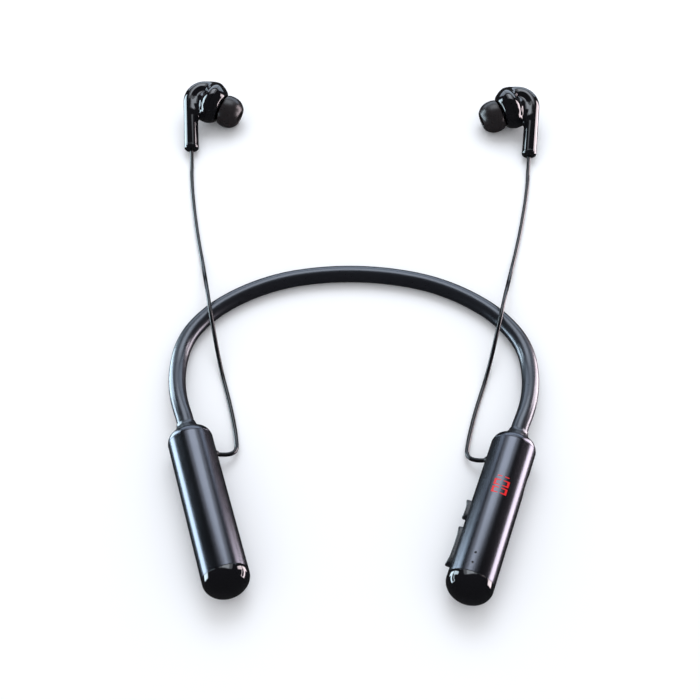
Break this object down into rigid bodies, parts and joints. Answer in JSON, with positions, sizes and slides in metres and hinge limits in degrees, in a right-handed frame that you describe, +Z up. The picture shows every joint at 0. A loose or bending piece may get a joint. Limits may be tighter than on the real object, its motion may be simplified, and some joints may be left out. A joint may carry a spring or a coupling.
{
  "type": "neckband earphones",
  "caption": "Springy round neckband with a cylindrical pod at each end, keys and a lit charge display on one pod, and a short cord from each pod to an angled in-ear bud.",
  "frame": {"origin": "on the table, under the middle of the set as it lies, without its cords", "axes": "+Z up from the table; +Y from the pods towards the earbuds, along the set; +X to the side of the pod that carries the keys; the plane X = 0 is the plane of symmetry of the outside"},
  "size_m": [0.1624, 0.2461, 0.0191],
  "materials": {
    "barrel_satin": "satin metallic-effect black lacquer",
    "cap_gloss": "piano gloss black",
    "band_rubber": "smooth semi-gloss black elastomer",
    "spring_alloy": "drawn spring wire",
    "insulated_loom": "bundled insulated conductors in a dark jacket",
    "zinc_crimp": "die-cast, as cast",
    "cord_jacket": "smooth glossy black cord jacket",
    "tip_silicone": "soft semi-matte dark silicone",
    "key_black": "fine satin black",
    "pin_steel": "plain steel",
    "moulded_black": "as moulded",
    "smoked_lens": "smoked, polished",
    "lit_figures": "glowing red",
    "flex_amber": "polyimide film",
    "board_green": "solder mask",
    "capsule_tin": "tinned can",
    "light_pipe": "clear moulded",
    "cell_wrap": "shrink-wrapped can",
    "foam_grey": "closed-cell foam",
    "diaphragm_film": "thin translucent film"
  },
  "bodies": {
    "band_centre": {"centre_sleeve": "band_rubber", "centre_memory_wire": "spring_alloy", "centre_conductors": "insulated_loom"},
    "right_arm": {"charging_port": "pin_steel", "display_figures": "lit_figures", "display_flex": "flex_amber", "display_lens": "smoked_lens", "display_module": "moulded_black", "main_board": "board_green", "microphone": "capsule_tin", "microphone_flex": "flex_amber", "radio_module": "pin_steel", "right_arm_conductors": "insulated_loom", "right_arm_memory_wire": "spring_alloy", "right_arm_sleeve": "band_rubber", "right_barrel": "barrel_satin", "right_collar": "band_rubber", "right_cord": "cord_jacket", "right_cord_gland": "cord_jacket", "right_diaphragm": "diaphragm_film", "right_driver": "pin_steel", "right_end_cap": "cap_gloss", "right_front_housing": "cap_gloss", "right_nozzle_mesh": "pin_steel", "right_rear_housing": "cap_gloss", "right_shoulder": "barrel_satin", "right_stem_ring": "cap_gloss", "right_wire_anchor": "zinc_crimp", "rocker_cradle": "moulded_black", "rocker_pin": "pin_steel", "status_light": "light_pipe", "tact_switches": "moulded_black"},
    "left_arm": {"battery_cell": "cell_wrap", "battery_foam": "foam_grey", "left_arm_conductors": "insulated_loom", "left_arm_memory_wire": "spring_alloy", "left_arm_sleeve": "band_rubber", "left_barrel": "barrel_satin", "left_collar": "band_rubber", "left_cord": "cord_jacket", "left_cord_gland": "cord_jacket", "left_diaphragm": "diaphragm_film", "left_driver": "pin_steel", "left_end_cap": "cap_gloss", "left_front_housing": "cap_gloss", "left_nozzle_mesh": "pin_steel", "left_rear_housing": "cap_gloss", "left_shoulder": "barrel_satin", "left_stem_ring": "cap_gloss", "left_wire_anchor": "zinc_crimp", "protection_board": "board_green"},
    "right_tip": {"right_ear_tip": "tip_silicone"},
    "left_tip": {"left_ear_tip": "tip_silicone"},
    "button": {"multi_function_button": "key_black"},
    "rocker": {"volume_rocker": "key_black"}
  },
  "joints": [
    {"name": "right_arm_flex", "type": "hinge", "parent": "band_centre", "child": "right_arm", "pos_m": [0.02671, 0.01624, 0.00325], "axis": [0, 0, 1], "range_deg": [-8, 15], "stiffness_Nm_per_rad": 0.4},
    {"name": "left_arm_flex", "type": "hinge", "parent": "band_centre", "child": "left_arm", "pos_m": [-0.02671, 0.01624, 0.00325], "axis": [0, 0, -1], "range_deg": [-8, 15], "stiffness_Nm_per_rad": 0.4},
    {"name": "button_press", "type": "slide", "parent": "right_arm", "child": "button", "axis": [0.9469, -0.3214, 0], "range_m": [0, 0.0004], "stiffness_N_per_m": 400},
    {"name": "rocker_tilt", "type": "hinge", "parent": "right_arm", "child": "rocker", "pos_m": [0.03922, -0.1036, 0.00825], "axis": [0, 0, 1], "range_deg": [-2.5, 2.5], "stiffness_Nm_per_rad": 0.05},
    {"name": "right_tip_pull", "type": "slide", "parent": "right_arm", "child": "right_tip", "axis": [-0.9067, -0.3365, -0.2544], "range_m": [0, 0.0065]},
    {"name": "left_tip_pull", "type": "slide", "parent": "left_arm", "child": "left_tip", "axis": [0.9067, -0.3365, -0.2544], "range_m": [0, 0.0065]}
  ]
}
